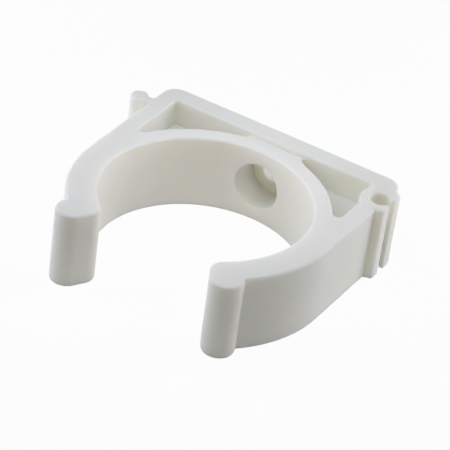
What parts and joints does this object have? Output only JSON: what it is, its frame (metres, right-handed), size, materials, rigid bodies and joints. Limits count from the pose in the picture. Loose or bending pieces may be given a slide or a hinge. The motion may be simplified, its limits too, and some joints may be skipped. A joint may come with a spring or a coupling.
{
  "type": "pipe clip",
  "caption": "Snap-in plastic pipe clip: an open ring with beaded jaws on a flat wall bar, with a recessed screw hole and a tongue and socket that join clips in a row.",
  "frame": {"origin": "on the held pipe's axis, midway between the clip's two side faces", "axes": "+Z along the pipe's axis, so the clip lies on its side; +Y towards the wall, with the jaws opening to -Y; +X along the wall bar towards the socket"},
  "size_m": [0.0726, 0.0644, 0.0194],
  "materials": {
    "white_plastic": "satin moulded plastic"
  },
  "bodies": {
    "root": {"pipe_clip": "white_plastic"}
  },
  "joints": []
}
